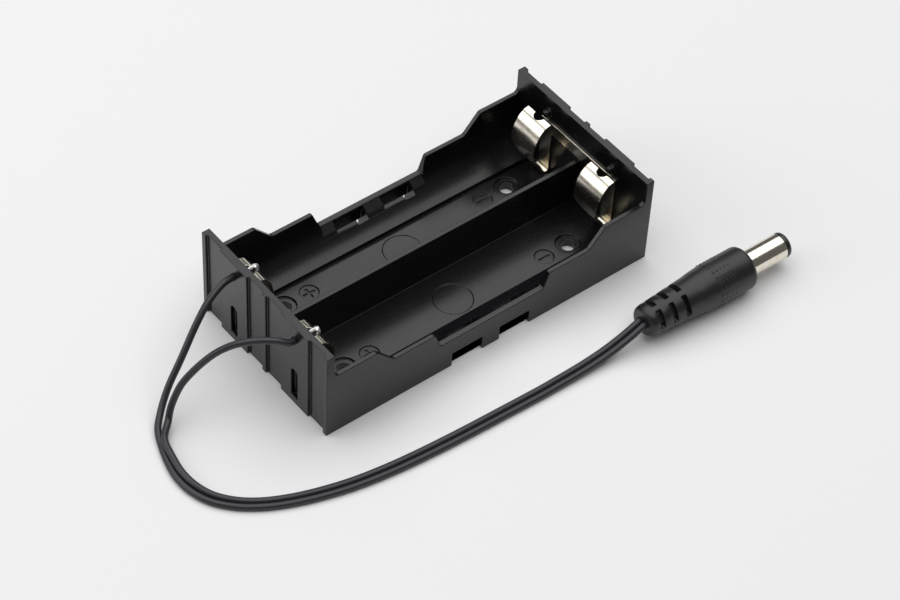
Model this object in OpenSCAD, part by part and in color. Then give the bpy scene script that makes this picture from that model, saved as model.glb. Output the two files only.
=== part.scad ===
// Open holder for two cylindrical cells side by side, with sprung contacts, two soldered leads that run
// together as a twin lead, and a moulded coaxial power plug.
// Millimetres. Origin at the middle of the holder's underside, X along the cells with the leads at -X,
// Y across the two bays, Z up.

/* [Cells and bays] */
// Diameter of the cells that the bays are shaped for
cell_d = 18.3; // [16:0.1:21]
// Play between a cell and the two upright sides of its bay
side_play = 0.15; // [0.05:0.05:0.8]
// Radial play between a cell and its cradle
cradle_play = 0.2; // [0.15:0.05:0.6]
// Inside length of a bay
bay_len = 74.8; // [70:0.2:90]
// Height of the flat floor
floor_h = 2.3; // [1.8:0.1:4]
// Height of a cradle's lowest line above the flat floor
cradle_lift = 0.3; // [0:0.05:1]
// Distance from the middle of a bay to the edge of its cradle
cradle_edge = 3.4; // [2:0.1:5]

/* [Housing walls] */
// Thickness of a side wall
side_wall = 0.95; // [0.8:0.05:1.6]
// Height of a side wall beside the end walls
high_edge_h = 15.6; // [13:0.1:18]
// Length of that high edge
high_edge_len = 9.9; // [8:0.1:13]
// Length of the slope below the high edge
slope_len = 3.85; // [2:0.05:6]
// Height of a side wall's middle step
mid_edge_h = 11.35; // [10:0.05:12.5]
// Height of the low lip where a cell is gripped with the fingers
low_edge_h = 7.5; // [7:0.1:9]
// Half the length of the low lip
dip_half = 12.5; // [11.5:0.1:16]
// Length of the step at each end of the low lip
dip_run = 1.4; // [0.6:0.1:3]
// Height of the divider between the bays
divider_h = 12; // [8:0.1:13.5]
// Thickness of the divider at its top
divider_top = 1; // [0.8:0.1:2]
// Extra thickness of the divider at its foot
divider_draft = 0.3; // [0:0.05:0.6]
// Height of the end walls
end_h = 21.3; // [20.5:0.1:26]
// Thickness of an end wall between its ribs
end_panel = 1.25; // [1:0.05:2]
// Height of the ribs and pads on the outside of an end wall
end_rib_out = 0.55; // [0.2:0.05:1.2]
// Width of the pad behind each contact
pad_w = 8.6; // [6:0.1:12]
// Width of an end wall's plain ribs
end_rib_w = 1.2; // [0.8:0.1:2]
// Radius of the fillets on the side walls' upper edges
edge_fillet = 1.1; // [0.3:0.1:1.6]

/* [Windows and underside] */
// Length of each window in the low lip
window_len = 7.35; // [5:0.05:9]
// Width of the tab between the two windows of a side
window_tab = 4.2; // [2:0.1:6]
// Width of a window
window_w = 1.2; // [0.8:0.05:1.6]
// Thickness of the lip outside a window
window_lip = 1.4; // [1.2:0.05:2]
// Length of a window's wide end
window_wide_len = 2.5; // [1:0.1:4]
// Extra width of a window's wide end
window_widening = 1; // [0.4:0.1:1.4]
// Height of the notches in the side walls' lower edges
notch_h = 3.4; // [1.5:0.1:4.5]
// Thickness of the moulding under a cradle
cradle_shell = 1.2; // [0.9:0.1:1.5]
// Thickness of the cross ribs under a cradle
cross_rib = 1.2; // [0.8:0.1:2]

/* [Screw holes] */
// Distance between the screw holes of a bay
screw_pitch = 55.1; // [46:0.1:58]
// Diameter of a screw hole
screw_d = 2.9; // [2:0.1:3.6]
// Diameter of the counterbore round it
counterbore_d = 5.1; // [4:0.1:6]
// Depth of the counterbore
counterbore_h = 0.45; // [0.2:0.05:1]

/* [Contacts] */
// Thickness of the contact sheet
sheet = 0.35; // [0.2:0.05:0.5]
// Width of a contact leaf
leaf_w = 7; // [5:0.1:8]
// Width of the narrow tongue at a leaf's foot
tongue_w = 3.2; // [2:0.1:4]
// Distance from the end wall to the crest of a spring leaf
spring_reach = 6.3; // [5:0.1:8.5]
// Distance from the end wall to the crest of a leaf at the leads
contact_reach = 4.9; // [4.4:0.1:7]
// Height of the strip that joins the two spring leaves
strip_h = 2.8; // [2:0.1:4.5]
// Radius of the notch in a leaf's top edge
notch_r = 1.25; // [0.8:0.05:1.6]
// Diameter of the pegs that stand behind the spring leaves
peg_d = 1.8; // [1.4:0.1:2.6]
// Length of those pegs
peg_len = 1.4; // [0.8:0.1:2]

/* [Leads] */
// Outer diameter of one insulated lead
lead_d = 1.4; // [1.2:0.05:1.6]
// Diameter of a lead's bare core
core_d = 0.7; // [0.4:0.05:0.8]
// Clearance round a lead in its holes
lead_play = 0.05; // [0.02:0.01:0.15]
// Height of the lead holes above the underside
lead_z = 17.7; // [17.3:0.1:18.2]
// Radius of the solder on a contact leaf
solder_r = 1; // [0.8:0.05:1.4]

/* [Plug] */
// Length of the moulded grip
grip_len = 25.9; // [25:0.1:30]
// Diameter of the grip
grip_d = 9.1; // [8.8:0.1:11]
// Length of the slotted strain relief
relief_len = 12; // [10:0.1:13]
// Diameter of the strain relief at its rear
relief_rear_d = 6.7; // [6.2:0.1:7.2]
// Diameter of the strain relief where the grip starts
relief_front_d = 8.1; // [7.4:0.1:8.6]
// Width of a strain relief slot
relief_slot = 1.1; // [0.8:0.1:1.6]
// Distance from one slot to the next in a row
relief_pitch = 3.1; // [2.6:0.1:3.2]
// Outer diameter of the plug's sleeve
sleeve_d = 5.5; // [5:0.1:6]
// Wall thickness of the sleeve
sleeve_wall = 0.5; // [0.3:0.05:0.6]
// Length of sleeve in front of the grip
sleeve_out = 9.1; // [8:0.1:12]
// Length of the insulating tip
tip_len = 1.3; // [0.8:0.1:2]
// Diameter of the bore for the socket's pin
plug_bore_d = 2.1; // [1.3:0.1:2.3]
// Wall thickness of the centre contact
centre_wall = 0.45; // [0.3:0.05:0.55]

/* [Hidden] */
$fn = 64;
sunk = 0.3;
play = 0.02;

black_abs = "#1c1c1f";
black_pvc = "#232326";
nickel = "#d8cfba";
tinned = "#c9c8c4";

// Places worked out from the cells and the walls.
bay_w = cell_d + side_play;
cradle_r = cell_d / 2 + cradle_play;
bay_y = divider_top / 2 + bay_w / 2;
inner_y = divider_top / 2 + bay_w;
half_w = inner_y + side_wall;
bay_half = bay_len / 2;
half_len = bay_half + end_panel + end_rib_out;
cell_z = floor_h + cradle_lift + cradle_r;
cradle_y = bay_y + cradle_edge;
slope_top_x = bay_half - high_edge_len;
slope_foot_x = slope_top_x - slope_len;

// Height of the cradle's surface, or of a shell below it, at a distance y from the middle of the holder.
function cradle_height(y, shell = 0) =
    cell_z - sqrt(pow(cradle_r + shell, 2) - pow(y - bay_y, 2));

// Windows, notches and the ribs under the cradles share one pitch.
window_in_y = half_w - window_lip - window_w;
window_starts = [-window_tab / 2 - window_len, window_tab / 2];
pocket_pitch = window_len + cross_rib;
pocket_count = floor((bay_half - window_tab / 2 - cross_rib) / pocket_pitch);
pocket_in_y = cradle_y + 0.9;
pocket_top = low_edge_h - cradle_shell;
relief_foot_y = half_w - 2.85;
relief_top_y = half_w - 1.25;
ledge_depth = 0.8;
ledge_rise = 0.45;

// Slots in the pads of the end walls.
pad_slot_w = 2;
pad_slot_depth = 1;
pad_slot_foot = 1.7;
pad_slot_top = 9.4;

// Contact leaves, from the fold at the foot to the free top edge: share of the reach, and height.
fold_r = 0.8;
foot_gap = 0.05;
plate_foot = cradle_height(bay_y + tongue_w / 2) + 0.3;
strip_z = divider_h + 0.8;
plate_top = strip_z + strip_h;
fold_z = floor_h + foot_gap + sheet / 2 + fold_r;
shoulder_z = cell_z - 1.4;
neck_z = cell_z - 3;
peg_rise = 5.5;
spring_rise = 5.85;
contact_rise = 5.35;
peg_z = cell_z + peg_rise;
peg_cap = 0.5;
spring_top_z = cell_z + spring_rise;
contact_top_z = cell_z + contact_rise;
notch_x = 0.38;

// Leads. A route is in the order in which a lead leaves the holder; the far lead lies outside the near one.
far_split = [
    [-42.3, 9.4, 17.5], [-45.9, 8.4, 16.2], [-48.4, 7.5, 14.5], [-50.8, 6.6, 12.4],
    [-53.3, 5.5, 10.2], [-55.4, 4.7, 8.2], [-57.8, 3.8, 6], [-59.8, 2.8, 4.1], [-62, 1.2, 2.3],
    [-64, -0.9, 1.2],
];
near_split = [
    [-42.2, -8.6, 18.4], [-44.8, -7, 18.8], [-46.9, -5.6, 18.5], [-49.2, -4, 17.6],
    [-51.6, -2.6, 16], [-53.8, -1.4, 13.7], [-55.8, -0.4, 11.1], [-57.6, 0.2, 8.7],
    [-59.1, 0.3, 6.2], [-60.5, -0.1, 4], [-61.8, -1.1, 2.1],
];
// Middle of the twin lead, and the angle by which it is tipped so that the near lead lies above the other.
twin_route = [
    [-65, -4, 1.3, 58], [-66.3, -8, 1.2, 45], [-67, -12, 1.1, 34], [-66.7, -16, 1, 25],
    [-65.2, -19.8, 0.85, 12], [-62.4, -23.3, 0.75, 4], [-58.8, -26.1, 0.7, 0],
    [-54.5, -28.4, 0.7, 0], [-49, -30.5, 0.7, 0], [-42, -32.4, 0.7, 0], [-34, -33.7, 0.7, 0],
    [-25.5, -34.5, 0.7, 0], [-17, -35, 0.7, 0], [-9.3, -35.3, 0.7, 0], [-0.3, -35.65, 0.75, 0],
    [4.6, -35.75, 0.9, 0], [8.5, -35.85, 1.1, 0], [12.1, -35.93, 1.45, 0], [15.7, -36, 2.05, 0],
    [18.8, -36.03, 2.85, 0], [21.2, -36.05, 3.65, 0], [22.9, -36.02, 4.28, 0],
];
lead_sides = 8;
wall_end_x = -half_len;
lead_inside = 0.5;
core_reach = 3.1;

// Plug. Its axis lies level, at grip height, and stations are counted from the grip's rear face.
plug_at = [24.25, -35.95, grip_d / 2 + 0.05];
plug_turn = -0.8;
slot_roll = -33;
slot_span = 71;
slot_start = 1.9;
slot_foot = 1;
flare_len = 6.2;
nose_len = 1;
lead_in = 11;
plug_core_len = 3;
flange_u = 20.2;
flange_h = 0.7;
flange_r = sleeve_d / 2 + 0.65;
neck_cut = 0.15;
tag_t = 0.4;
tag_u = 12;
sleeve_tag_y = sleeve_d / 2 - sleeve_wall + 0.1;
insulator_u = 19.2;
centre_u = 18.2;
centre_r = plug_bore_d / 2 + centre_wall;
centre_tag_y = lead_d / 2 + core_d / 2 + 0.1;
mouth_gap = 0.8;
plug_len = grip_len + sleeve_out + tip_len;

function unit(v) = v / norm(v);

// An arc of radius r in place of corner b of the outline a, b, c.
function rounded_corner(a, b, c, r, steps = 6) =
    r == 0 ? [b] :
    let (
        u = unit(a - b),
        v = unit(c - b),
        half = acos(u * v) / 2,
        centre = b + unit(u + v) * r / sin(half),
        from = b + u * r / tan(half) - centre,
        to = b + v * r / tan(half) - centre
    )
    [for (i = [0:steps]) centre + r * unit(from * (steps - i) + to * i)];

// A closed outline from corners given as [x, y, radius].
function rounded_outline(corners) =
    let (n = len(corners), at = [for (c = corners) [c.x, c.y]])
    [for (i = [0:n - 1])
        each rounded_corner(at[(i + n - 1) % n], at[i], at[(i + 1) % n], corners[i].z)];

// A smooth line through all the points.
function smooth_line(p, steps = 4) =
    let (last = len(p) - 1)
    [for (i = [0:last - 1], k = [0:steps - 1])
        let (
            a = p[max(i - 1, 0)],
            b = p[i],
            c = p[i + 1],
            d = p[min(i + 2, last)],
            t = k / steps
        )
        0.5 * (2 * b + (c - a) * t + (2 * a - 5 * b + 4 * c - d) * t * t
            + (3 * b - a - 3 * c + d) * t * t * t),
     p[last]];

function direction(p, i) = unit(p[min(i + 1, len(p) - 1)] - p[max(i - 1, 0)]);

// The points of a plane line moved sideways by d, to the left of its run.
function beside(p, d) =
    [for (i = [0:len(p) - 1])
        let (t = direction(p, i))
        p[i] + d * [-t.y, t.x]];

function reversed(p) = [for (i = [len(p) - 1:-1:0]) p[i]];

// Outline of a strip of sheet whose middle follows the line.
function sheet_outline(p, t) = concat(beside(p, t / 2), reversed(beside(p, -t / 2)));

// Places a section drawn in Y and Z so that it runs along X from x0 to x1.
module along_x(x0, x1) {
    translate([x0, 0, 0])
        rotate([90, 0, 90])
            linear_extrude(x1 - x0)
                children();
}

// Places an outline drawn in X and Z so that it runs across Y, w wide about y.
module across_y(y, w) {
    translate([0, y + w / 2, 0])
        rotate([90, 0, 0])
            linear_extrude(w)
                children();
}

module both_sides() {
    children();
    mirror([0, 1, 0])
        children();
}

module both_ends() {
    children();
    mirror([1, 0, 0])
        children();
}

// ---- Housing: one moulding ----

// Section of the room that a cell needs: a cradle below, upright sides above.
module cell_room() {
    intersection() {
        union() {
            translate([bay_y, cell_z])
                circle(r = cradle_r);
            translate([bay_y - cradle_r, cell_z])
                square([2 * cradle_r, end_h]);
        }
        square([inner_y, 2 * end_h]);
    }
}

// Upper edge of a side wall, from one end wall to the other.
module side_wall_outline() {
    top = high_edge_h + 2 * edge_fillet;
    in_wall_x = bay_half + end_panel / 2;
    half = [
        [in_wall_x, 0, 0],
        [in_wall_x, top, 0],
        [bay_half, top, 0],
        [bay_half, high_edge_h, edge_fillet],
        [slope_top_x, high_edge_h, edge_fillet],
        [slope_foot_x, mid_edge_h, edge_fillet],
        [dip_half + dip_run, mid_edge_h, edge_fillet / 2],
        [dip_half, low_edge_h, edge_fillet / 2],
    ];
    polygon(rounded_outline(concat(half, [for (c = reversed(half)) [-c.x, c.y, c.z]])));
}

module side_body() {
    intersection() {
        along_x(-half_len + end_rib_out, half_len - end_rib_out)
            difference() {
                translate([cradle_y, 0])
                    square([half_w - cradle_y, end_h]);
                cell_room();
            }
        across_y(half_w / 2, 2 * half_w)
            side_wall_outline();
    }
}

// The low lip's bevel, cut between the cradle and the lip's flat top.
module lip_bevel() {
    along_x(-dip_half, dip_half)
        polygon([
            [relief_foot_y, cradle_height(relief_foot_y)],
            [relief_top_y, low_edge_h - 0.1],
            [relief_top_y, low_edge_h + 1],
            [relief_foot_y, low_edge_h + 1],
        ]);
}

// One window: an upright slot with a wide end, and a shallow ledge in front of it.
module window() {
    ledge_y = window_in_y - ledge_depth;
    ledge_z = cradle_height(ledge_y);
    translate([0, window_in_y, -1])
        cube([window_len, window_w, end_h]);
    translate([window_len - window_wide_len, window_in_y - window_widening, -1])
        cube([window_wide_len, window_widening + sunk, end_h]);
    along_x(0, window_len)
        polygon([
            [ledge_y, ledge_z],
            [window_in_y + sunk, ledge_z + ledge_rise],
            [window_in_y + sunk, cradle_height(window_in_y + sunk) + 1],
        ]);
    translate([0, inner_y - sunk, -1])
        cube([window_len, side_wall + 1, notch_h + 1]);
}

// Section of the hollows under a cradle, which keep the moulding's walls even.
module pocket_section() {
    difference() {
        translate([pocket_in_y, -1])
            square([inner_y - pocket_in_y, pocket_top + 1]);
        translate([bay_y, cell_z])
            circle(r = cradle_r + cradle_shell);
    }
}

module pockets() {
    for (i = [0:pocket_count - 1])
        along_x(window_tab / 2 + i * pocket_pitch, window_tab / 2 + i * pocket_pitch + window_len)
            pocket_section();
}

module end_wall() {
    translate([bay_half, -half_w, 0])
        cube([end_panel, 2 * half_w, end_h]);
    rib_x = bay_half + end_panel - sunk;
    rib_out = end_rib_out + sunk;
    translate([rib_x, -end_rib_w / 2, 0])
        cube([rib_out, end_rib_w, end_h]);
    both_sides() {
        translate([rib_x, bay_y - pad_w / 2, 0])
            cube([rib_out, pad_w, end_h]);
        translate([rib_x, half_w - end_rib_w, 0])
            cube([rib_out, end_rib_w, end_h]);
    }
}

// The arched slot in a pad.
module pad_slot() {
    arch_z = pad_slot_top - pad_slot_w / 2;
    translate([half_len - pad_slot_depth, bay_y, 0]) {
        translate([0, -pad_slot_w / 2, pad_slot_foot])
            cube([2, pad_slot_w, arch_z - pad_slot_foot]);
        translate([0, 0, arch_z])
            rotate([0, 90, 0])
                cylinder(h = 2, d = pad_slot_w);
    }
}

module divider() {
    foot = divider_top + divider_draft;
    along_x(-bay_half - sunk, bay_half + sunk)
        polygon([
            [-foot / 2, floor_h - sunk],
            [foot / 2, floor_h - sunk],
            [divider_top / 2, divider_h],
            [-divider_top / 2, divider_h],
        ]);
}

// A peg on the inside of the spring end wall, with a domed end.
module peg() {
    dome_r = (pow(peg_d / 2, 2) + pow(peg_cap, 2)) / (2 * peg_cap);
    translate([bay_half + sunk, bay_y, peg_z])
        rotate([0, -90, 0])
            intersection() {
                cylinder(h = peg_len + sunk, d = peg_d);
                translate([0, 0, peg_len + sunk - dome_r])
                    sphere(r = dome_r);
            }
}

module screw_hole() {
    translate([screw_pitch / 2, bay_y, -1])
        cylinder(h = floor_h + 2, d = screw_d);
    translate([screw_pitch / 2, bay_y, floor_h - counterbore_h])
        cylinder(h = counterbore_h + 1, d = counterbore_d);
}

module lead_hole() {
    translate([-half_len - 1, bay_y, lead_z])
        rotate([0, 90, 0])
            cylinder(h = half_len - bay_half + 2, d = lead_d + 2 * lead_play);
}

module housing() {
    color(black_abs)
        difference() {
            union() {
                translate([-bay_half - sunk, -half_w, 0])
                    cube([bay_len + 2 * sunk, 2 * half_w, floor_h]);
                both_sides()
                    side_body();
                divider();
                both_ends()
                    end_wall();
                both_sides()
                    peg();
            }
            both_sides() {
                lip_bevel();
                for (x = window_starts)
                    translate([x, 0, 0])
                        window();
                both_ends() {
                    pockets();
                    pad_slot();
                    screw_hole();
                }
                lead_hole();
            }
        }
}

// ---- Contacts: bent sheet ----

// Middle line of a leaf, as distance from the end wall and height.
function leaf_line(reach, top) =
    let (
        s = sheet / 2,
        lean = fold_r * sin(45)
    )
    smooth_line([
        [s, plate_foot + 1],
        [s, fold_z],
        [s + fold_r - lean, fold_z - lean],
        [s + fold_r, fold_z - fold_r],
        [s + fold_r + lean, fold_z - lean],
        [0.43 * reach, fold_z + 1.7],
        [0.68 * reach, fold_z + 3.6],
        [0.9 * reach, cell_z - 2.8],
        [reach, cell_z - 0.4],
        [0.98 * reach, cell_z + 1],
        [0.9 * reach, cell_z + 2.9],
        [0.76 * reach, top - 1.4],
        [0.57 * reach, top - 0.3],
        [notch_x * reach, top],
    ], 4);

// Leaf seen along X: full width above, a narrow tongue below.
module leaf_front() {
    w = leaf_w / 2;
    t = tongue_w / 2;
    polygon([
        [-t, 0], [t, 0], [t, neck_z - 3], [t + 0.6, neck_z], [w, shoulder_z],
        [w, end_h], [-w, end_h], [-w, shoulder_z], [-t - 0.6, neck_z], [-t, neck_z - 3],
    ]);
}

// One leaf with its plate, for the bay at +Y, standing on the end wall at the origin and reaching to +X.
module leaf(reach, top) {
    difference() {
        intersection() {
            across_y(bay_y, leaf_w)
                polygon(sheet_outline(leaf_line(reach, top), sheet));
            translate([0, bay_y, 0])
                along_x(0, reach + 1)
                    leaf_front();
        }
        translate([notch_x * reach, bay_y, cell_z])
            cylinder(h = end_h, r = notch_r);
    }
    translate([0, bay_y - tongue_w / 2, plate_foot])
        cube([sheet, tongue_w, plate_top - plate_foot]);
}

module at_spring_end() {
    translate([bay_half, 0, 0])
        mirror([1, 0, 0])
            children();
}

module at_lead_end() {
    translate([-bay_half, 0, 0])
        children();
}

module spring_contact() {
    strip_half = bay_y + tongue_w / 2;
    color(nickel)
        at_spring_end() {
            both_sides()
                leaf(spring_reach, spring_top_z);
            translate([0, -strip_half, strip_z])
                cube([sheet, 2 * strip_half, strip_h]);
        }
}

module contact_far() {
    color(nickel)
        at_lead_end()
            leaf(contact_reach, contact_top_z);
}

module contact_near() {
    mirror([0, 1, 0])
        contact_far();
}

// ---- Leads and their soldered ends ----

module core_far() {
    color(tinned)
        translate([-bay_half + lead_inside, bay_y, lead_z])
            rotate([0, 90, 0])
                cylinder(h = core_reach - lead_inside, d = core_d, $fn = 32);
}

module core_near() {
    mirror([0, 1, 0])
        core_far();
}

// A drop of solder on top of the leaf, round the end of the core.
module solder_far() {
    color(tinned)
        difference() {
            translate([-bay_half + core_reach + 0.1, bay_y, lead_z - 0.6])
                rotate([90, 0, 90])
                    sphere(r = solder_r, $fn = 48);
            at_lead_end() {
                leaf(contact_reach, contact_top_z);
                across_y(bay_y, leaf_w)
                    polygon(leaf_line(contact_reach, contact_top_z));
            }
            core_far();
        }
}

module solder_near() {
    mirror([0, 1, 0])
        solder_far();
}

// A point on the plug's axis, u from the grip's rear face.
function on_plug_axis(u) = plug_at + u * [cos(plug_turn), sin(plug_turn), 0];

// One lead's line in the twin lead: d to the left of the route, or above it where that is tipped.
function twin_line(route, d) =
    [for (i = [0:len(route) - 1])
        let (
            p = route[i],
            t = direction(route, i),
            n = unit([-t.y, t.x])
        )
        [p.x, p.y, p.z] + d * [n.x * cos(p[3]), n.y * cos(p[3]), sin(p[3])]];

// Whole centreline of a lead: through its hole, along its own way, then beside the other lead.
function lead_line(side, split, turn) =
    concat(
        [[-bay_half + lead_inside, side * bay_y, lead_z], [wall_end_x - 1, side * bay_y, lead_z]],
        split,
        twin_line(
            concat(twin_route, [for (u = [0, lead_in / 2, lead_in]) concat(on_plug_axis(u), 0)]),
            turn * lead_d / 2
        )
    );

// A tube of flat sides swept along a line, with one ring at each point.
module swept_tube(line, d) {
    n = lead_sides;
    last = len(line) - 1;
    points = [for (i = [0:last])
        let (
            t = direction(line, i),
            side = unit(cross([0, 0, 1], t)),
            up = cross(t, side)
        )
        for (k = [0:n - 1])
            let (a = 360 * (k + 0.5) / n)
            line[i] + d / 2 * (cos(a) * side + sin(a) * up)];
    walls = [for (i = [0:last - 1], k = [0:n - 1])
        [i * n + k, i * n + (k + 1) % n, (i + 1) * n + (k + 1) % n, (i + 1) * n + k]];
    start = [for (k = [n - 1:-1:0]) k];
    end = [for (k = [0:n - 1]) last * n + k];
    polyhedron(points = points, faces = concat([start], walls, [end]), convexity = 6);
}

module lead_far() {
    color(black_pvc)
        swept_tube(lead_line(1, far_split, -1), lead_d);
}

module lead_near() {
    color(black_pvc)
        swept_tube(lead_line(-1, near_split, 1), lead_d);
}

// ---- Plug ----

// Turns what is drawn along Z so that it runs along the plug's axis, with -X up and Y to its left.
module on_plug() {
    translate(plug_at)
        rotate([0, 0, plug_turn])
            rotate([0, 90, 0])
                children();
}

// A ring between two radii, from station u0 to station u1.
module ring(r0, r1, u0, u1) {
    translate([0, 0, u0])
        difference() {
            cylinder(h = u1 - u0, r = r1);
            translate([0, 0, -1])
                cylinder(h = u1 - u0 + 2, r = r0);
        }
}

module grip_body() {
    rear = relief_rear_d / 2;
    front = relief_front_d / 2;
    body = grip_d / 2;
    swell = body - front;
    rotate_extrude()
        polygon([
            [0, 0], [rear - 0.85, 0], [rear - 0.45, 0.15], [rear - 0.15, 0.55], [rear, 1.3],
            [front, relief_len],
            [front + 0.42 * swell, relief_len + 0.27 * flare_len],
            [front + 0.76 * swell, relief_len + 0.61 * flare_len],
            [front + 0.93 * swell, relief_len + 0.81 * flare_len],
            [body, relief_len + flare_len], [body, grip_len - nose_len],
            [body - 0.12, grip_len - 0.58 * nose_len], [body - 0.45, grip_len - 0.19 * nose_len],
            [body - 0.95, grip_len], [0, grip_len],
        ]);
}

// Four rows of slots that let the strain relief bend, between four straight spines.
module relief_slots() {
    core_r = lead_d + lead_play + slot_foot;
    for (row = [0:3], i = [0:2])
        translate([0, 0, slot_start + i * relief_pitch])
            rotate([0, 0, row * 90 - slot_span / 2 + slot_roll])
                rotate_extrude(angle = slot_span)
                    translate([core_r, 0])
                        square([grip_d, relief_slot]);
}

// Sleeve with its moulded-in part: a slightly thinner neck, a flange and a solder tag.
module sleeve_shape(grow = 0) {
    ring(sleeve_d / 2 - sleeve_wall, sleeve_d / 2 - neck_cut + grow, flange_u, grip_len);
    ring(sleeve_d / 2 - sleeve_wall, sleeve_d / 2, grip_len, grip_len + sleeve_out);
    ring(sleeve_d / 2 - sleeve_wall, flange_r + grow, flange_u - grow, flange_u + flange_h + grow);
    translate([-1 - grow, sleeve_tag_y - grow, tag_u - grow])
        cube([2 + 2 * grow, tag_t + 2 * grow, flange_u - tag_u + sunk]);
}

module insulator_shape() {
    tube_r = sleeve_d / 2 - sleeve_wall - play;
    head_r = sleeve_d / 2 - 0.05;
    head_u = grip_len + sleeve_out;
    difference() {
        rotate_extrude()
            polygon([
                [0, insulator_u], [tube_r, insulator_u], [tube_r, head_u], [head_r, head_u],
                [head_r, plug_len - 0.5], [head_r - 0.15, plug_len - 0.15],
                [head_r - 0.5, plug_len], [0, plug_len],
            ]);
        translate([0, 0, insulator_u - 1])
            cylinder(h = plug_len, r = centre_r + play);
    }
}

module centre_shape(grow = 0) {
    difference() {
        translate([0, 0, centre_u - grow])
            cylinder(h = plug_len - mouth_gap - centre_u + grow, r = centre_r + grow);
        if (grow == 0)
            translate([0, 0, grip_len - 1])
                cylinder(h = plug_len, d = plug_bore_d);
    }
    translate([-0.9 - grow, -centre_tag_y - tag_t - grow, tag_u - grow])
        cube([1.8 + 2 * grow, tag_t + 2 * grow, centre_u - tag_u + tag_t + 2 * grow]);
    translate([-0.9 - grow, -centre_tag_y - tag_t - grow, centre_u - grow])
        cube([1.8 + 2 * grow, centre_tag_y + tag_t, tag_t + 2 * grow]);
}

module plug_core_shape(side, grow = 0) {
    translate([0, side * lead_d / 2, lead_in])
        cylinder(h = plug_core_len + grow, d = core_d + 2 * grow, $fn = 32);
}

// Solder between a core and the inner face of the tag that it is joined to.
module centre_solder(grow = 0) {
    difference() {
        translate([0, -centre_tag_y + 0.2, tag_u + 1.2])
            sphere(r = 0.75 + grow, $fn = 48);
        translate([-2, -centre_tag_y - 2, tag_u - 1])
            cube([4, 2 - grow, 4]);
    }
}

module sleeve_solder(grow = 0) {
    y = (lead_d / 2 + sleeve_tag_y) / 2;
    difference() {
        translate([0, y, tag_u + 1.2])
            sphere(r = 1.1 + grow, $fn = 48);
        translate([-2, sleeve_tag_y + grow, tag_u - 1])
            cube([4, 2, 4]);
    }
}

module plug_grip() {
    color(black_pvc)
        on_plug()
            difference() {
                grip_body();
                relief_slots();
                for (side = [-1, 1])
                    translate([0, side * lead_d / 2, -1])
                        cylinder(h = lead_in + 1, r = lead_d / 2 + lead_play);
                sleeve_shape(play);
                translate([0, 0, insulator_u - play])
                    cylinder(h = grip_len, r = sleeve_d / 2 - sleeve_wall);
                centre_shape(play);
                plug_core_shape(-1, play);
                plug_core_shape(1, play);
                centre_solder(play);
                sleeve_solder(play);
            }
}

module plug_sleeve() {
    color(nickel)
        on_plug()
            sleeve_shape();
}

module plug_insulator() {
    color(black_abs)
        on_plug()
            insulator_shape();
}

module plug_centre_contact() {
    color(nickel)
        on_plug()
            centre_shape();
}

module plug_core_far() {
    color(tinned)
        on_plug()
            plug_core_shape(-1);
}

module plug_core_near() {
    color(tinned)
        on_plug()
            plug_core_shape(1);
}

module plug_solder_far() {
    color(tinned)
        on_plug()
            difference() {
                centre_solder();
                plug_core_shape(-1);
            }
}

module plug_solder_near() {
    color(tinned)
        on_plug()
            difference() {
                sleeve_solder();
                plug_core_shape(1);
            }
}

housing();
spring_contact();
contact_far();
contact_near();
core_far();
core_near();
solder_far();
solder_near();
lead_far();
lead_near();
plug_grip();
plug_sleeve();
plug_insulator();
plug_centre_contact();
plug_core_far();
plug_core_near();
plug_solder_far();
plug_solder_near();
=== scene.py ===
"""Finish of an open holder for two cylindrical cells, with its contacts, twin lead and power plug.

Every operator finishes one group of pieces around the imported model. Lengths are in metres, with
X along the cells, Y across the bays and Z up.
"""

import math

import bmesh
import bpy
from bpy.props import FloatProperty, FloatVectorProperty, IntProperty, PointerProperty
from mathutils import Matrix, Vector, noise


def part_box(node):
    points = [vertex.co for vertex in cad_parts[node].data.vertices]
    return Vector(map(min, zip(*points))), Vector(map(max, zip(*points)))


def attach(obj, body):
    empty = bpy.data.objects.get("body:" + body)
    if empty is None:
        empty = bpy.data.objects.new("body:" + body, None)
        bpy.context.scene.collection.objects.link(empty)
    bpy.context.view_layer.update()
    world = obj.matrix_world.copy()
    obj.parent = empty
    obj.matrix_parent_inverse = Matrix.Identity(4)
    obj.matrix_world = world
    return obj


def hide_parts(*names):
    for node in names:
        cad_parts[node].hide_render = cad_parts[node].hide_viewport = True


bl_info = {
    "name": "Cell Holder Finish",
    "version": (1, 0, 0),
    "blender": (4, 5, 0),
    "location": "3D View > Sidebar > Cell Holder",
    "description": "Finishes a two-bay cylindrical cell holder with its leads and plug",
    "category": "Object",
}

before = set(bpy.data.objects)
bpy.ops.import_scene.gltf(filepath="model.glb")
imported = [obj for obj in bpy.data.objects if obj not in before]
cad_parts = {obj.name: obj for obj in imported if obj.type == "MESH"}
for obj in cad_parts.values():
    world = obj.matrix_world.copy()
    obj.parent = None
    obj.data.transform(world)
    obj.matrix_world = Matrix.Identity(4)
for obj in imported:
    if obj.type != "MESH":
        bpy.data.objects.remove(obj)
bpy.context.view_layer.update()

BODY = "root"
MM = 0.001

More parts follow.
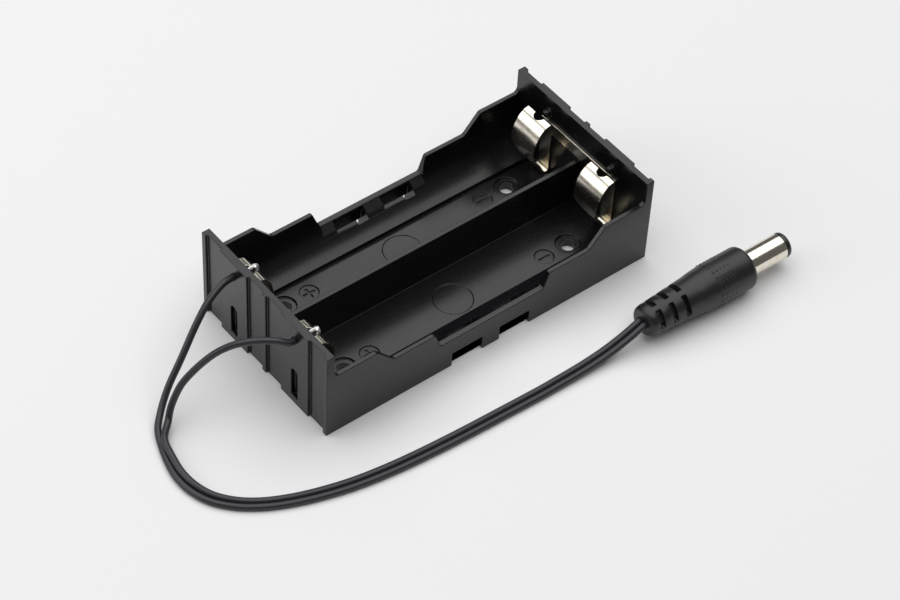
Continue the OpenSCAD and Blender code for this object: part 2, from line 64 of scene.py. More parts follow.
# Routes of the two leads from the holder to where they lie side by side, in the order of the run.
FAR_SPLIT = [
    (-0.0423, 0.0094, 0.0175), (-0.0459, 0.0084, 0.0162), (-0.0484, 0.0075, 0.0145),
    (-0.0508, 0.0066, 0.0124), (-0.0533, 0.0055, 0.0102), (-0.0554, 0.0047, 0.0082),
    (-0.0578, 0.0038, 0.006), (-0.0598, 0.0028, 0.0041), (-0.062, 0.0012, 0.0023),
    (-0.064, -0.0009, 0.0012),
]
NEAR_SPLIT = [
    (-0.0422, -0.0086, 0.0184), (-0.0448, -0.007, 0.0188), (-0.0469, -0.0056, 0.0185),
    (-0.0492, -0.004, 0.0176), (-0.0516, -0.0026, 0.016), (-0.0538, -0.0014, 0.0137),
    (-0.0558, -0.0004, 0.0111), (-0.0576, 0.0002, 0.0087), (-0.0591, 0.0003, 0.0062),
    (-0.0605, -0.0001, 0.004), (-0.0618, -0.0011, 0.0021),
]
# Middle of the twin lead, and the angle in degrees by which the near lead is tipped above the
# far one.
TWIN_ROUTE = [
    (-0.065, -0.004, 0.0013, 58), (-0.0662, -0.008, 0.0012, 45), (-0.06688, -0.012, 0.0011, 34),
    (-0.0666, -0.016, 0.001, 25), (-0.0652, -0.0198, 0.00085, 12), (-0.0624, -0.0233, 0.00075, 4),
    (-0.0588, -0.0261, 0.0007, 0), (-0.0545, -0.0284, 0.0007, 0), (-0.049, -0.0305, 0.0007, 0),
    (-0.042, -0.0324, 0.0007, 0), (-0.034, -0.0337, 0.0007, 0), (-0.0255, -0.0345, 0.0007, 0),
    (-0.017, -0.035, 0.0007, 0), (-0.0093, -0.0353, 0.0007, 0), (-0.0003, -0.03565, 0.00075, 0),
    (0.0046, -0.03575, 0.0009, 0), (0.0085, -0.03585, 0.0011, 0), (0.0121, -0.03593, 0.00145, 0),
    (0.0157, -0.036, 0.00205, 0), (0.0188, -0.03603, 0.00285, 0), (0.0212, -0.03605, 0.00365, 0),
    (0.0229, -0.03602, 0.00428, 0),
]
PLUG_AT = Vector((0.02425, -0.03595, 0.0046))
PLUG_TURN = math.radians(-0.8)
PLUG_AXIS = Vector((math.cos(PLUG_TURN), math.sin(PLUG_TURN), 0))
LEAD_IN = 11 * MM
LEAD_Z = 17.7 * MM
# Edges that turn by more than this are rounded and stay sharp in the shading.
SHARP_ANGLE = math.radians(32)
EDGE_SEGMENTS = 2
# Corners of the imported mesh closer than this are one, and faces flatter than this are one face.
WELD_DISTANCE = 0.5e-6
FLAT_ANGLE = math.radians(0.6)

WALL_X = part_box("housing")[0].x
BAY_Y = (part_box("core_far")[0].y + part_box("core_far")[1].y) / 2
BAY_FLOOR = 2.3 * MM


class StageSettings(bpy.types.PropertyGroup):
    """Camera, floor and lamps."""

    azimuth: FloatProperty(
        name="Azimuth", description="Turn of the camera round the holder, from straight in front",
        default=math.radians(-40.524), subtype="ANGLE")
    elevation: FloatProperty(
        name="Elevation", description="Height of the camera above the horizon",
        default=math.radians(47.55), subtype="ANGLE")
    roll: FloatProperty(
        name="Roll", description="Turn of the camera about its own line of sight",
        default=math.radians(3.372), subtype="ANGLE")
    distance: FloatProperty(
        name="Distance", description="From the camera to the point that it looks at",
        default=0.5502, unit="LENGTH", precision=4)
    target: FloatVectorProperty(
        name="Target", description="Point that the camera looks at",
        default=(-0.00528, -0.01335, 0.01005), subtype="TRANSLATION", precision=4)
    lens: FloatProperty(
        name="Lens", description="Focal length of the camera in millimetres", default=115.8)
    floor_colour: FloatVectorProperty(
        name="Floor", description="Colour of the floor", default=(0.80, 0.80, 0.81),
        subtype="COLOR", min=0, max=1)
    sky: FloatProperty(
        name="Sky", description="Strength of the even light from all round", default=0.12, min=0)
    key: FloatProperty(
        name="Key", description="Power of the large lamp above", default=17, min=0, unit="POWER")


class HousingSettings(bpy.types.PropertyGroup):
    """Moulded body of the holder."""

    colour: FloatVectorProperty(
        name="Colour", description="Colour of the moulded body", default=(0.0045, 0.0045, 0.0055),
        subtype="COLOR", min=0, max=1)
    roughness: FloatProperty(
        name="Roughness", description="Middle roughness of the moulded body", default=0.24,
        min=0, max=1)
    edge_radius: FloatProperty(
        name="Edge radius", description="Rounding of the moulded edges", default=0.12 * MM,
        unit="LENGTH", precision=5)
    sign_x: FloatProperty(
        name="Sign place", description="Distance from the middle of a bay to each polarity sign",
        default=21.5 * MM, unit="LENGTH", precision=4)
    sign_radius: FloatProperty(
        name="Sign radius", description="Radius of the sunk disc round a polarity sign",
        default=1.95 * MM, unit="LENGTH", precision=5)
    sign_bar: FloatProperty(
        name="Sign bar", description="Length of a bar in a polarity sign", default=2.65 * MM,
        unit="LENGTH", precision=5)
    pin_mark_radius: FloatProperty(
        name="Pin mark", description="Radius of the ejector's mark in the middle of each bay",
        default=4 * MM, unit="LENGTH", precision=4)


class LeadSettings(bpy.types.PropertyGroup):
    """Insulated leads and their bared cores."""

    diameter: FloatProperty(
        name="Diameter", description="Outer diameter of one lead", default=1.4 * MM,
        unit="LENGTH", precision=5)
    colour: FloatVectorProperty(
        name="Colour", description="Colour of the insulation", default=(0.018, 0.018, 0.022),
        subtype="COLOR", min=0, max=1)
    strands: IntProperty(
        name="Strands", description="Strands round the middle one in a bared core", default=6,
        min=3)


class ContactSettings(bpy.types.PropertyGroup):
    """Plated sheet and solder."""

    colour: FloatVectorProperty(
        name="Plate", description="Colour of the nickel plate", default=(0.82, 0.77, 0.66),
        subtype="COLOR", min=0, max=1)
    roughness: FloatProperty(
        name="Roughness", description="Roughness of the nickel plate", default=0.2, min=0, max=1)
    edge_radius: FloatProperty(
        name="Edge radius", description="Rounding of the sheet's edges", default=0.06 * MM,
        unit="LENGTH", precision=5)


class PlugSettings(bpy.types.PropertyGroup):
    """Moulded grip of the plug."""

    colour: FloatVectorProperty(
        name="Colour", description="Colour of the grip", default=(0.010, 0.010, 0.011),
        subtype="COLOR", min=0, max=1)
    dots_start: FloatProperty(
        name="Dots from", description="Where the band of grip dots starts along the grip",
        default=16.7 * MM, unit="LENGTH", precision=4)
    dot_pitch: FloatProperty(
        name="Dot pitch", description="Distance from one ring of dots to the next",
        default=0.9 * MM, unit="LENGTH", precision=5)
    dot_rings: IntProperty(name="Rings", description="Rings of grip dots", default=5, min=1)
    dots_round: IntProperty(name="Dots round", description="Dots in each ring", default=21, min=6)
    dot_length: FloatProperty(
        name="Dot length", description="Half the length of a grip dot, round the grip",
        default=0.34 * MM, unit="LENGTH", precision=5)
    dot_width: FloatProperty(
        name="Dot width", description="Half the width of a grip dot, along the grip",
        default=0.27 * MM, unit="LENGTH", precision=5)


class HolderSettings(bpy.types.PropertyGroup):
    """All the settings of the finish."""

    stage: PointerProperty(type=StageSettings)
    housing: PointerProperty(type=HousingSettings)
    leads: PointerProperty(type=LeadSettings)
    contacts: PointerProperty(type=ContactSettings)
    plug: PointerProperty(type=PlugSettings)


# ---- Shader maths ----


class Value:
    """A shader socket that takes part in Python arithmetic."""

    def __init__(self, shader, socket):
        self.shader = shader
        self.socket = socket

    def math(self, operation, first, second):
        return self.shader.node("ShaderNodeMath", {"operation": operation}, {0: first, 1: second})

    def __add__(self, other):
        return self.math("ADD", self, other)

    def __sub__(self, other):
        return self.math("SUBTRACT", self, other)

    def __rsub__(self, other):
        return self.math("SUBTRACT", other, self)

    def __mul__(self, other):
        return self.math("MULTIPLY", self, other)

    __radd__ = __add__


class Shader:
    """A material's node tree, with one method that adds any node to it."""

    def __init__(self, name):
        self.material = bpy.data.materials.new(name)
        self.material.use_nodes = True
        self.tree = self.material.node_tree
        self.tree.nodes.clear()

    def node(self, kind, settings=None, inputs=None, output=0):
        """Adds a node, sets it up, then fills its sockets with values or links."""
        node = self.tree.nodes.new(kind)
        for key, value in (settings or {}).items():
            if key == "stops":
                set_stops(node.color_ramp, value)
            else:
                setattr(node, key, value)
        for key, value in (inputs or {}).items():
            socket = find_socket(node.inputs, key)
            if isinstance(value, Value):
                self.tree.links.new(value.socket, socket)
            else:
                socket.default_value = value
        return Value(self, find_socket(node.outputs, output)) if node.outputs else None

    def place(self, *scale):
        """Places on the object in its own axes, stretched by a scale for each axis."""
        at = self.node("ShaderNodeTexCoord", output="Object")
        return self.node("ShaderNodeMapping", None, {"Vector": at, "Scale": scale or (1, 1, 1)})

    def noise(self, at, scale, detail=3.0, roughness=0.5):
        inputs = {"Vector": at, "Scale": scale, "Detail": detail, "Roughness": roughness}
        return self.node("ShaderNodeTexNoise", None, inputs)

    def ramp(self, value, *stops):
        """Turns a value into a smooth step or any other curve of grey between the stops."""
        return self.node("ShaderNodeValToRGB", {"stops": stops}, {"Fac": value})

    def mix(self, factor, first, second):
        inputs = {"Factor_Float": factor, "A_Color": first, "B_Color": second}
        return self.node("ShaderNodeMix", {"data_type": "RGBA"}, inputs, "Result_Color")

    def bump(self, height, distance):
        return self.node("ShaderNodeBump", None, {"Height": height, "Distance": distance})

    def surface(self, **inputs):
        """Ends the tree in one principled surface; underscores in the names stand for spaces."""
        named = {key.replace("_", " "): value for key, value in inputs.items()}
        closing = self.node("ShaderNodeBsdfPrincipled", None, named)
        self.node("ShaderNodeOutputMaterial", None, {"Surface": closing})
        return self.material


def find_socket(sockets, key):
    if isinstance(key, int):
        return sockets[key]
    return next(socket for socket in sockets if key in (socket.identifier, socket.name))


def set_stops(ramp, stops):
    """Sets a ramp's stops, each a place and a grey level."""
    while len(ramp.elements) < len(stops):
        ramp.elements.new(1.0)
    for element, (place, level) in zip(ramp.elements, stops):
        element.position = place
        element.color = (level, level, level, 1)


def opaque(colour, share=1.0):
    return (*(channel * share for channel in colour), 1)


# ---- Materials ----


def moulded_black(settings):
    """Satin black moulding with faint flow marks, a fine grain and light rubbing."""
    shader = Shader("moulded_black")
    at = shader.place()
    flow = shader.noise(shader.place(1, 3, 3), 70, 4)
    grain = shader.noise(at, 5200, 2)
    rubbed = shader.ramp(shader.noise(shader.place(1, 9, 9), 420, 5, 0.65), (0.56, 0), (0.75, 1))
    gloss = settings.roughness + (flow - 0.5) * 0.16 + rubbed * 0.07 + (grain - 0.5) * 0.08
    colour = shader.mix(flow, opaque(settings.colour, 0.8), opaque(settings.colour, 1.35))
    worn = shader.mix(rubbed * 0.35, colour, opaque(settings.colour, 2.6))
    return shader.surface(
        Base_Color=worn, Roughness=gloss, IOR=1.47,
        Normal=shader.bump(grain + rubbed * 0.3, 0.004 * MM))


def nickel_plate(name, settings, roughness):
    """Bright plate over rolled sheet, with fine lines along the rolling and faint tarnish."""
    shader = Shader(name)
    lines = shader.noise(shader.place(1, 14, 1), 900, 4, 0.6)
    cloud = shader.noise(shader.place(), 260, 3)
    stain = shader.ramp(shader.noise(shader.place(), 700, 4), (0.5, 0), (0.8, 1))
    warm = shader.mix(stain * 0.5, opaque(settings.colour), opaque((0.62, 0.54, 0.42)))
    gloss = roughness + (lines - 0.5) * 0.1 + (cloud - 0.5) * 0.1 + stain * 0.08
    return shader.surface(
        Base_Color=warm, Metallic=1.0, Roughness=gloss,
        Normal=shader.bump(lines, 0.0015 * MM))


def solder_metal():
    """Solder: bright where it ran smooth and dull where it froze, with scattered patches of flux.
    """
    shader = Shader("solder")
    frozen = shader.ramp(shader.noise(shader.place(), 1500, 4), (0.42, 0), (0.62, 1))
    flux = shader.ramp(shader.noise(shader.place(), 620, 3), (0.62, 0), (0.74, 1))
    colour = shader.mix(flux, opaque((0.76, 0.76, 0.75)), opaque((0.40, 0.28, 0.12)))
    return shader.surface(
        Base_Color=colour, Metallic=1 - flux * 0.6, Roughness=0.16 + frozen * 0.22,
        Normal=shader.bump(frozen, 0.01 * MM))


def tinned_copper():
    shader = Shader("tinned_copper")
    bare = shader.ramp(shader.noise(shader.place(), 1800, 3), (0.6, 0), (0.75, 1))
    colour = shader.mix(bare * 0.6, opaque((0.72, 0.71, 0.68)), opaque((0.72, 0.42, 0.26)))
    return shader.surface(Base_Color=colour, Metallic=1.0, Roughness=0.26 + bare * 0.12)


def insulation(settings):
    """Soft black PVC over the strands, glossy, with a slight waviness along the lead."""
    shader = Shader("insulation")
    wave = shader.noise(shader.place(), 320, 3)
    grain = shader.noise(shader.place(), 4200, 2)
    dust = shader.ramp(shader.noise(shader.place(), 2600, 2), (0.66, 0), (0.78, 1))
    colour = shader.mix(dust * 0.25, opaque(settings.colour), opaque((0.09, 0.09, 0.10)))
    return shader.surface(
        Base_Color=colour, Roughness=0.38 + (wave - 0.5) * 0.16 + dust * 0.1, IOR=1.5,
        Normal=shader.bump(wave + grain * 0.08, 0.03 * MM))


def grip_vinyl(settings):
    """Moulded vinyl of the plug's grip, satin and finely grained."""
    shader = Shader("grip_vinyl")
    grain = shader.noise(shader.place(), 6500, 3, 0.6)
    cloud = shader.noise(shader.place(), 240, 3)
    colour = shader.mix(cloud, opaque(settings.colour, 0.85), opaque(settings.colour, 1.5))
    return shader.surface(
        Base_Color=colour, Roughness=0.36 + (cloud - 0.5) * 0.12 + (grain - 0.5) * 0.1, IOR=1.48,
        Normal=shader.bump(grain, 0.008 * MM))


def tip_plastic():
    shader = Shader("tip_plastic")
    cloud = shader.noise(shader.place(), 700, 3)
    colour = shader.mix(cloud, opaque((0.009, 0.009, 0.010)), opaque((0.018, 0.018, 0.019)))
    return shader.surface(Base_Color=colour, Roughness=0.3 + (cloud - 0.5) * 0.1)


def floor_paper(settings):
    """Pale matt floor with a faint fibre."""
    shader = Shader("floor_paper")
    fibre = shader.noise(shader.place(), 300, 3)
    return shader.surface(
        Base_Color=opaque(settings.floor_colour), Roughness=0.9 + (fibre - 0.5) * 0.1)


# ---- Meshes ----


def new_piece(name, mesh, material):
    """Puts a mesh in the scene as a piece of the object."""
    piece = bpy.data.objects.new(name, mesh)
    bpy.context.scene.collection.objects.link(piece)
    mesh.materials.clear()
    mesh.materials.append(material)
    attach(piece, BODY)
    return piece


def clean_copy(node):
    """A welded copy of a node's mesh with its flat faces whole."""
    grid = bmesh.new()
    grid.from_mesh(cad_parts[node].data)
    bmesh.ops.remove_doubles(grid, verts=grid.verts, dist=WELD_DISTANCE)
    bmesh.ops.dissolve_limit(
        grid, angle_limit=FLAT_ANGLE, verts=grid.verts, edges=grid.edges)
    mesh = bpy.data.meshes.new(node + "_finish")
    grid.to_mesh(mesh)
    grid.free()
    return mesh


def soften(piece, radius):
    """Rounds the sharp edges of a piece, and shades its curved faces smooth."""
    piece.data.shade_smooth()
    piece.data.set_sharp_from_angle(angle=SHARP_ANGLE)
    rounding = piece.modifiers.new("edges", "BEVEL")
    rounding.width = radius
    rounding.segments = EDGE_SEGMENTS
    rounding.limit_method = "ANGLE"
    rounding.angle_limit = SHARP_ANGLE
    rounding.use_clamp_overlap = False
    rounding.miter_outer = "MITER_ARC"
    shading = piece.modifiers.new("shading", "WEIGHTED_NORMAL")
    shading.keep_sharp = True


def dress(node, material, radius):
    """Stands a rounded and finished copy of a node in its place."""
    piece = new_piece(node + "_finish", clean_copy(node), material)
    soften(piece, radius)
    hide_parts(node)


def repaint(node, material):
    """Gives a node that keeps its own mesh another material."""
    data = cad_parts[node].data
    data.materials.clear()
    data.materials.append(material)


# ---- Camera, floor and lamps ----


def add_camera(settings):
    a, e, roll = settings.azimuth, settings.elevation, settings.roll
    back = Vector((math.sin(a) * math.cos(e), -math.cos(a) * math.cos(e), math.sin(e)))
    right = Vector((math.cos(a), math.sin(a), 0))
    up = back.cross(right)
    turned_right = math.cos(roll) * right + math.sin(roll) * up
    turned_up = math.cos(roll) * up - math.sin(roll) * right
    data = bpy.data.cameras.new("camera")
    data.lens = settings.lens
    data.sensor_width = 36
    data.clip_start = 0.01
    data.clip_end = 10
    camera = bpy.data.objects.new("camera", data)
    bpy.context.scene.collection.objects.link(camera)
    turn = Matrix((turned_right, turned_up, back)).transposed().to_4x4()
    place = Vector(settings.target) + settings.distance * back
    camera.matrix_world = Matrix.Translation(place) @ turn
    bpy.context.scene.camera = camera


def add_floor(settings):
    half = 1.5
    mesh = bpy.data.meshes.new("floor")
    corners = [(-half, -half, 0), (half, -half, 0), (half, half, 0), (-half, half, 0)]
    mesh.from_pydata(corners, [], [(0, 1, 2, 3)])
    mesh.materials.append(floor_paper(settings))
    floor = bpy.data.objects.new("floor", mesh)
    bpy.context.scene.collection.objects.link(floor)


def add_lamp(name, place, aim, size, power):
    data = bpy.data.lights.new(name, "AREA")
    data.shape = "RECTANGLE"
    data.size, data.size_y = size
    data.energy = power
    lamp = bpy.data.objects.new(name, data)
    bpy.context.scene.collection.objects.link(lamp)
    turn = (Vector(aim) - Vector(place)).to_track_quat("-Z", "Y").to_matrix().to_4x4()
    lamp.matrix_world = Matrix.Translation(place) @ turn


def add_lamps(settings):
    world = bpy.data.worlds.new("studio")
    world.use_nodes = True
    sky = world.node_tree.nodes["Background"]
    sky.inputs["Color"].default_value = (1, 1, 1, 1)
    sky.inputs["Strength"].default_value = settings.sky
    bpy.context.scene.world = world
    middle = (0, -0.01, 0)
    left_share = 0.13
    add_lamp("lamp_above", (0.12, 0.14, 0.99), middle, (1.6, 1.8), settings.key)
    add_lamp("lamp_left", (-0.72, 0.42, 0.46), middle, (0.6, 0.5), settings.key * left_share)


# ---- Leads ----


def twin_points(route, offset):
    """Points of one lead of the twin lead, offset to the left, or up where it is tipped."""
    points = []
    for i, (x, y, z, tip) in enumerate(route):
        before = route[max(i - 1, 0)]
        after = route[min(i + 1, len(route) - 1)]
        along = Vector((after[0] - before[0], after[1] - before[1]))
        left = Vector((-along.y, along.x)).normalized()
        level = offset * math.cos(math.radians(tip))
        points.append(Vector((x + left.x * level, y + left.y * level,
                              z + offset * math.sin(math.radians(tip)))))
    return points


def lead_points(side, split, offset):
    """A lead's whole line: out of its hole, along its own way, then into the plug."""
    inner_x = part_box("core_far")[0].x
    into_plug = [(*(PLUG_AT + PLUG_AXIS * u), 0) for u in (0, LEAD_IN / 2, LEAD_IN)]
    start = [Vector((inner_x, side * BAY_Y, LEAD_Z)), Vector((WALL_X - MM, side * BAY_Y, LEAD_Z))]
    return start + [Vector(p) for p in split] + twin_points(TWIN_ROUTE + into_plug, offset)


def above_floor(place, settings):
    """The place, raised as far as a lead whose middle is there needs to clear the floor."""
    return Vector((place.x, place.y, max(place.z, settings.diameter / 2)))


def add_lead(name, points, settings, material):
    data = bpy.data.curves.new(name, "CURVE")
    data.dimensions = "3D"
    data.bevel_depth = settings.diameter / 2
    data.bevel_resolution = 6
    data.resolution_u = 8
    data.use_fill_caps = True
    line = data.splines.new("BEZIER")
    line.bezier_points.add(len(points) - 1)
    for i, (knot, place) in enumerate(zip(line.bezier_points, points)):
        before = points[max(i - 1, 0)]
        after = points[min(i + 1, len(points) - 1)]
        way = (after - before).normalized()
        knot.co = place
        knot.handle_left_type = "FREE"
        knot.handle_right_type = "FREE"
        knot.handle_left = above_floor(place - way * (place - before).length / 3, settings)
        knot.handle_right = above_floor(place + way * (after - place).length / 3, settings)
    data.materials.append(material)
    lead = bpy.data.objects.new(name + "_cord", data)
    bpy.context.scene.collection.objects.link(lead)
    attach(lead, BODY)
    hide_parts(name)


# ---- Housing marks ----


def add_prism(grid, outline, low, high):
    """Adds an upright prism on a plane outline to a bmesh."""
    foot = [grid.verts.new((x, y, low)) for x, y in outline]
    head = [grid.verts.new((x, y, high)) for x, y in outline]
    grid.faces.new(list(reversed(foot)))
    grid.faces.new(head)
    for i in range(len(outline)):
        j = (i + 1) % len(outline)
        grid.faces.new((foot[i], foot[j], head[j], head[i]))


def disc(x, y, radius, steps=48):
    turn = 2 * math.pi / steps
    return [
        (x + radius * math.cos(i * turn), y + radius * math.sin(i * turn)) for i in range(steps)]


def cross(x, y, length, width):
    """Outline of a plus sign."""
    a, b = length / 2, width / 2
    corners = [(a, -b), (a, b), (b, b), (b, a), (-b, a), (-b, b), (-a, b), (-a, -b), (-b, -b),
               (-b, -a), (b, -a), (b, -b)]
    return [(x + dx, y + dy) for dx, dy in corners]


def bar(x, y, length, width):
    a, b = length / 2, width / 2
    return [(x + dx, y + dy) for dx, dy in ((a, -b), (a, b), (-a, b), (-a, -b))]


def carve(piece, outlines, depth):
    """Sinks flat marks of a depth into the floor of the bays."""
    above = 0.4 * MM
    grid = bmesh.new()
    for outline, foot in outlines:
        add_prism(grid, outline, foot - depth, foot + above)
    mesh = bpy.data.meshes.new("cutter")
    grid.to_mesh(mesh)
    grid.free()
    cutter = bpy.data.objects.new("cutter", mesh)
    bpy.context.scene.collection.objects.link(cutter)
    cut = piece.modifiers.new("marks", "BOOLEAN")
    cut.operation = "DIFFERENCE"
    cut.solver = "EXACT"
    cut.object = cutter
    depsgraph = bpy.context.evaluated_depsgraph_get()
    carved = bpy.data.meshes.new_from_object(piece.evaluated_get(depsgraph))
    piece.modifiers.remove(cut)
    piece.data = carved
    bpy.data.objects.remove(cutter)
    bpy.data.meshes.remove(mesh)


def add_marks(piece, settings):
    """Sinks the ejector marks and the polarity signs into the bay floors."""
    disc_depth = 0.3 * MM
    pin_depth = 0.15 * MM
    bar_depth = 0.3 * MM
    bar_width = 0.45 * MM
    pin_y = 8.05 * MM
    pins, discs, signs = [], [], []
    for side in (-1, 1):
        y = side * BAY_Y
        pins.append((disc(0, side * pin_y, settings.pin_mark_radius, 72), BAY_FLOOR))
        discs.append((disc(-settings.sign_x, y, settings.sign_radius), BAY_FLOOR))
        discs.append((disc(settings.sign_x, y, settings.sign_radius), BAY_FLOOR))
        sunk = BAY_FLOOR - disc_depth
        signs.append((cross(-settings.sign_x, y, settings.sign_bar, bar_width), sunk))
        signs.append((bar(settings.sign_x, y, settings.sign_bar, bar_width), sunk))
    carve(piece, pins, pin_depth)
    carve(piece, discs, disc_depth)
    carve(piece, signs, bar_depth)


# ---- Plug dots ----


def plug_matrix():
    """Turns what is made along X, with Z up, so that it lies along the plug's axis."""
    return Matrix.Translation(PLUG_AT) @ Matrix.Rotation(PLUG_TURN, 4, "Z")


def add_dome(grid, place, half_x, half_y, height):
    """Adds a low oval dome on a surface: place turns +Z away from the surface."""
    rim_steps = 10
    levels = 3
    rings = []
    for level in range(levels):
        lean = math.pi / 2 * level / levels
        ring = []
        for i in range(rim_steps):
            turn = 2 * math.pi * i / rim_steps
            x = half_x * math.cos(lean) * math.cos(turn)
            y = half_y * math.cos(lean) * math.sin(turn)
            ring.append(grid.verts.new(place @ Vector((x, y, height * math.sin(lean)))))
        rings.append(ring)
    top = grid.verts.new(place @ Vector((0, 0, height)))
    for low, high in zip(rings, rings[1:]):
        for i in range(rim_steps):
            j = (i + 1) % rim_steps
            grid.faces.new((low[i], low[j], high[j], high[i]))
    for i in range(rim_steps):
        grid.faces.new((rings[-1][i], rings[-1][(i + 1) % rim_steps], top))
    grid.faces.new(list(reversed(rings[0])))


def add_grip_dots(settings, material):
    grid = bmesh.new()
    low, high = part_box("plug_grip")
    sunk = 0.04 * MM
    height = 0.115 * MM
    radius = (high.z - low.z) / 2 - sunk
    for ring in range(settings.dot_rings):
        u = settings.dots_start + ring * settings.dot_pitch
        for i in range(settings.dots_round):
            turn = 2 * math.pi * (i + 0.5) / settings.dots_round
            out = Matrix.Rotation(turn, 4, "X") @ Matrix.Translation((u, 0, radius))
            place = plug_matrix() @ out
            if (place @ Vector((0, 0, height))).z > 0:
                add_dome(grid, place, settings.dot_width, settings.dot_length, height)
    mesh = bpy.data.meshes.new("plug_grip_dots")
    grid.to_mesh(mesh)
    grid.free()
    mesh.shade_smooth()
    new_piece("plug_grip_dots", mesh, material)


# ---- Solder and strands ----


def add_solder(node, material, seed):
    """A drop of solder that has run out over the leaf round the strands."""
    lump_scale = 1.3
    lump_share = 0.12
    foot_share = 0.12
    fullness = 0.97
    low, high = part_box(node)
    middle = (low + high) / 2
    half = (high - low) / 2
    grid = bmesh.new()
    bmesh.ops.create_icosphere(grid, subdivisions=4, radius=1)
    for vert in grid.verts:
        way = vert.co.normalized()
        rough = noise.noise(way * lump_scale + Vector((seed, 0, 0))) * lump_share
        spread = 1 + foot_share * max(0, -way.z) ** 2
        shape = Vector((way.x * half.x * spread, way.y * half.y * spread, way.z * half.z))
        vert.co = middle + shape * (fullness + rough - lump_share)
    mesh = bpy.data.meshes.new(node + "_finish")
    grid.to_mesh(mesh)
    grid.free()
    mesh.shade_smooth()
    piece = new_piece(node + "_finish", mesh, material)
    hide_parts(node)


def add_strands(node, settings, material):
    """Twisted strands of a bared core, as one mesh."""
    low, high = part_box(node)
    middle = (low + high) / 2
    core = (high.z - low.z) / 2
    strand = core / 3
    sides = 8
    rings = 24
    twist = 2.4
    grid = bmesh.new()
    for k in range(settings.strands + 1):
        radius = 0 if k == 0 else core - strand
        rows = []
        for i in range(rings + 1):
            x = low.x + (high.x - low.x) * i / rings
            turn = 2 * math.pi * k / settings.strands + twist * i / rings
            at = Vector((
                x, middle.y + radius * math.cos(turn), middle.z + radius * math.sin(turn)))
            row = []
            for s in range(sides):
                a = 2 * math.pi * s / sides
                out = Vector((0, strand * math.cos(a), strand * math.sin(a)))
                row.append(grid.verts.new(at + out))
            rows.append(row)
        for a, b in zip(rows, rows[1:]):
            for s in range(sides):
                t = (s + 1) % sides
                grid.faces.new((a[s], a[t], b[t], b[s]))
        grid.faces.new(list(reversed(rows[0])))
        grid.faces.new(rows[-1])
    mesh = bpy.data.meshes.new(node + "_finish")
    grid.to_mesh(mesh)
    grid.free()
    mesh.shade_smooth()
    mesh.set_sharp_from_angle(angle=math.radians(60))
    piece = new_piece(node + "_finish", mesh, material)
    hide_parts(node)


# ---- Operators ----


class CELLHOLDER_OT_camera(bpy.types.Operator):
    """Set the camera"""

    bl_idname = "cell_holder.camera"
    bl_label = "Camera"

    def execute(self, context):
        add_camera(context.scene.cell_holder.stage)
        return {"FINISHED"}


class CELLHOLDER_OT_leads(bpy.types.Operator):
    """Lay the two leads and twist their bared cores"""

    bl_idname = "cell_holder.leads"
    bl_label = "Leads"

    def execute(self, context):
        settings = context.scene.cell_holder.leads
        offset = settings.diameter / 2
        vinyl = insulation(settings)
        add_lead("lead_far", lead_points(1, FAR_SPLIT, -offset), settings, vinyl)
        add_lead("lead_near", lead_points(-1, NEAR_SPLIT, offset), settings, vinyl)
        copper = tinned_copper()
        for node in ("core_far", "core_near"):
            add_strands(node, settings, copper)
        return {"FINISHED"}


class CELLHOLDER_OT_housing(bpy.types.Operator):
    """Finish the moulded body and sink its marks"""

    bl_idname = "cell_holder.housing"
    bl_label = "Housing"

    def execute(self, context):
        settings = context.scene.cell_holder.housing
        piece = new_piece(
            "housing_finish", clean_copy("housing"), moulded_black(settings))
        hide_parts("housing")
        add_marks(piece, settings)
        soften(piece, settings.edge_radius)
        return {"FINISHED"}


class CELLHOLDER_OT_contacts(bpy.types.Operator):
    """Plate the contacts and flow the solder"""

    bl_idname = "cell_holder.contacts"
    bl_label = "Contacts"

    def execute(self, context):
        settings = context.scene.cell_holder.contacts
        plate = nickel_plate("nickel_sheet", settings, settings.roughness)
        for node in ("spring_contact", "contact_far", "contact_near"):
            dress(node, plate, settings.edge_radius)
        solder = solder_metal()
        for seed, node in enumerate(("solder_far", "solder_near")):
            add_solder(node, solder, 3.7 * seed + 1)
        return {"FINISHED"}


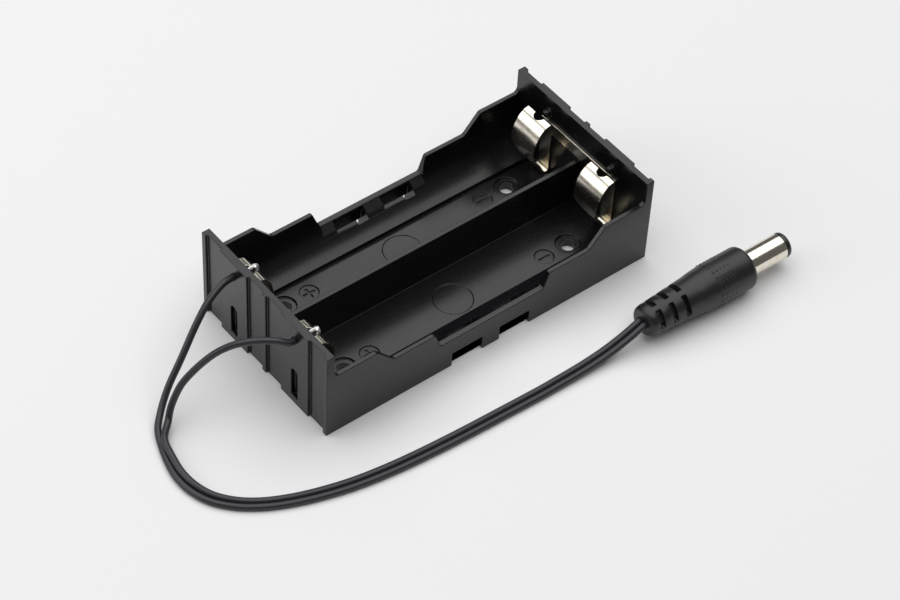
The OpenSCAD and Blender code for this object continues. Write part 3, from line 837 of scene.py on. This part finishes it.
class CELLHOLDER_OT_plug(bpy.types.Operator):
    """Finish the plug's grip, sleeve and tip"""

    bl_idname = "cell_holder.plug"
    bl_label = "Plug"

    def execute(self, context):
        holder = context.scene.cell_holder
        vinyl = grip_vinyl(holder.plug)
        dress("plug_grip", vinyl, 0.12 * MM)
        add_grip_dots(holder.plug, vinyl)
        bright = nickel_plate("nickel_sleeve", holder.contacts, 0.14)
        dress("plug_sleeve", bright, 0.08 * MM)
        dress("plug_centre_contact", bright, 0.05 * MM)
        dress("plug_insulator", tip_plastic(), 0.08 * MM)
        copper = bpy.data.materials["tinned_copper"]
        solder = bpy.data.materials["solder"]
        for side in ("far", "near"):
            repaint("plug_core_" + side, copper)
            repaint("plug_solder_" + side, solder)
        return {"FINISHED"}


class CELLHOLDER_OT_stage(bpy.types.Operator):
    """Lay the floor and hang the lamps"""

    bl_idname = "cell_holder.stage"
    bl_label = "Stage"

    def execute(self, context):
        settings = context.scene.cell_holder.stage
        add_floor(settings)
        add_lamps(settings)
        context.scene.view_settings.view_transform = "Standard"
        return {"FINISHED"}


class CELLHOLDER_PT_finish(bpy.types.Panel):
    """Steps of the finish, with their settings"""

    bl_idname = "CELLHOLDER_PT_finish"
    bl_label = "Cell Holder"
    bl_space_type = "VIEW_3D"
    bl_region_type = "UI"
    bl_category = "Cell Holder"

    def draw(self, context):
        holder = context.scene.cell_holder
        for operator, group in STEPS:
            self.layout.operator(operator.bl_idname)
            settings = getattr(holder, group)
            for name in settings.__annotations__:
                self.layout.prop(settings, name)


STEPS = [
    (CELLHOLDER_OT_camera, "stage"),
    (CELLHOLDER_OT_leads, "leads"),
    (CELLHOLDER_OT_housing, "housing"),
    (CELLHOLDER_OT_contacts, "contacts"),
    (CELLHOLDER_OT_plug, "plug"),
    (CELLHOLDER_OT_stage, "stage"),
]
CLASSES = [
    StageSettings, HousingSettings, LeadSettings, ContactSettings, PlugSettings, HolderSettings,
    *(operator for operator, _ in STEPS), CELLHOLDER_PT_finish,
]


def register():
    for cls in CLASSES:
        bpy.utils.register_class(cls)
    bpy.types.Scene.cell_holder = PointerProperty(type=HolderSettings)


def unregister():
    del bpy.types.Scene.cell_holder
    for cls in reversed(CLASSES):
        bpy.utils.unregister_class(cls)


def main():
    register()
    bpy.ops.cell_holder.camera()
    bpy.ops.cell_holder.leads()
    bpy.ops.cell_holder.housing()
    bpy.ops.cell_holder.contacts()
    bpy.ops.cell_holder.plug()
    bpy.ops.cell_holder.stage()


if __name__ == "__main__":
    main()
